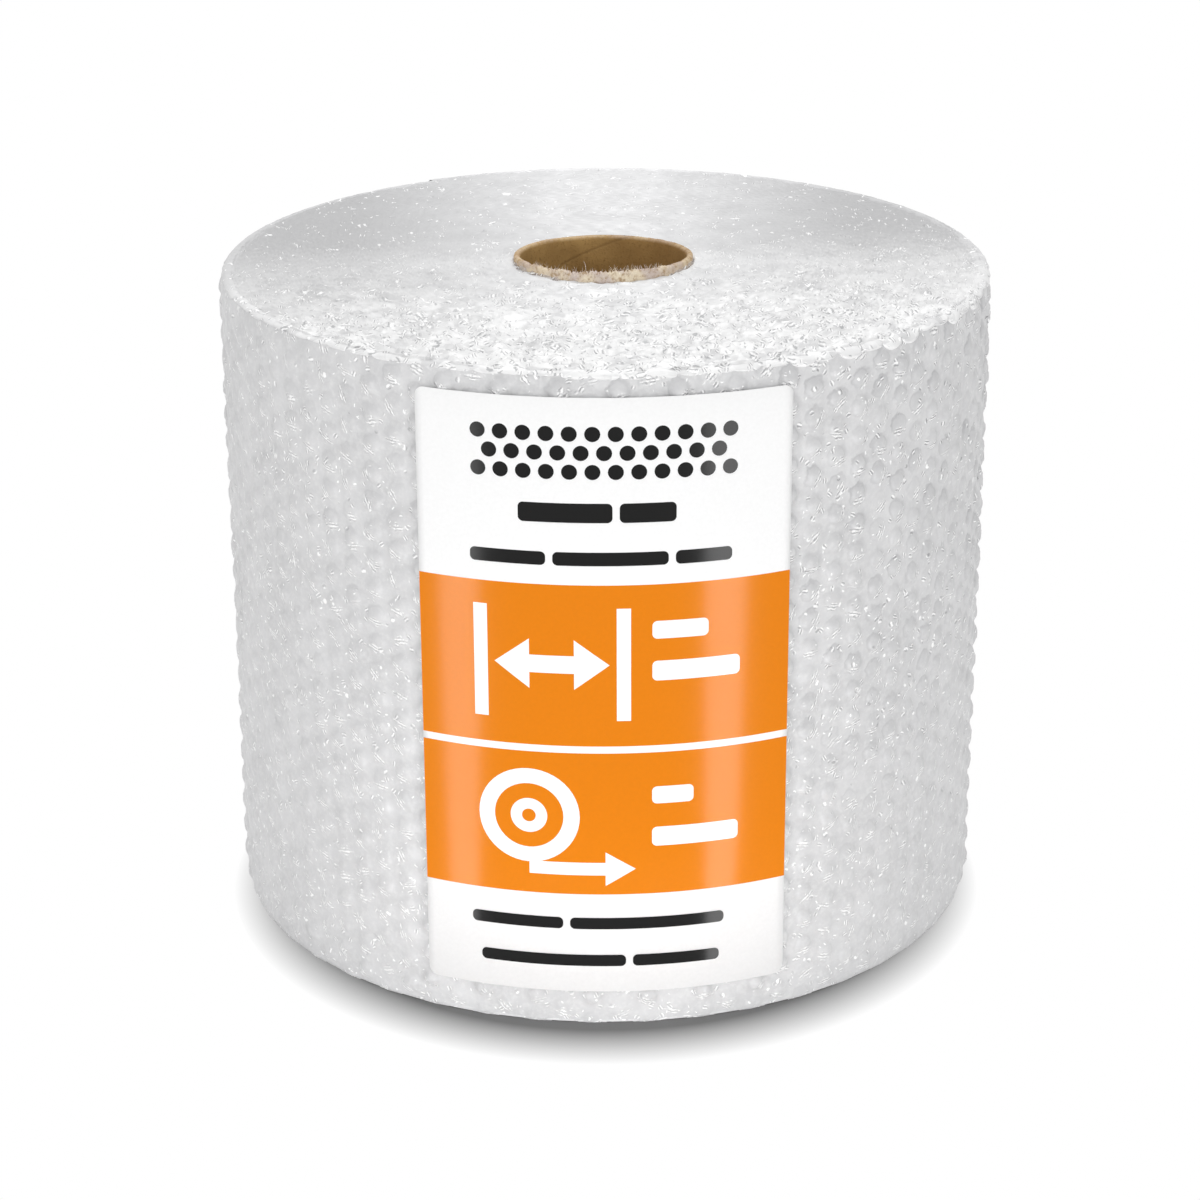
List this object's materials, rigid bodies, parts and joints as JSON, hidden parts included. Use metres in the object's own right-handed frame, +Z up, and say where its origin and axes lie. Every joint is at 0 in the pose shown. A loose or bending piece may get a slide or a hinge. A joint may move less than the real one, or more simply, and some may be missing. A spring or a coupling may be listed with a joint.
{
  "type": "bubble wrap roll",
  "caption": "Roll of bubble film wound on a cardboard core tube, standing on end, with a large printed paper label on its curved front.",
  "frame": {"origin": "centre of the core's bore, in the plane that the roll stands on", "axes": "+Z up along the core's axis, -Y towards the label, +X to the right as seen from the label side"},
  "size_m": [0.3553, 0.3566, 0.3045],
  "materials": {
    "bubble_film": "clear air-bubble film, hazy white in thickness",
    "core_board": "brown spiral-wound board",
    "label_paper": "glossy printed paper, white with two orange bands"
  },
  "bodies": {
    "root": {"bubble_film": "bubble_film", "core_tube": "core_board", "paper_label": "label_paper"}
  },
  "joints": []
}
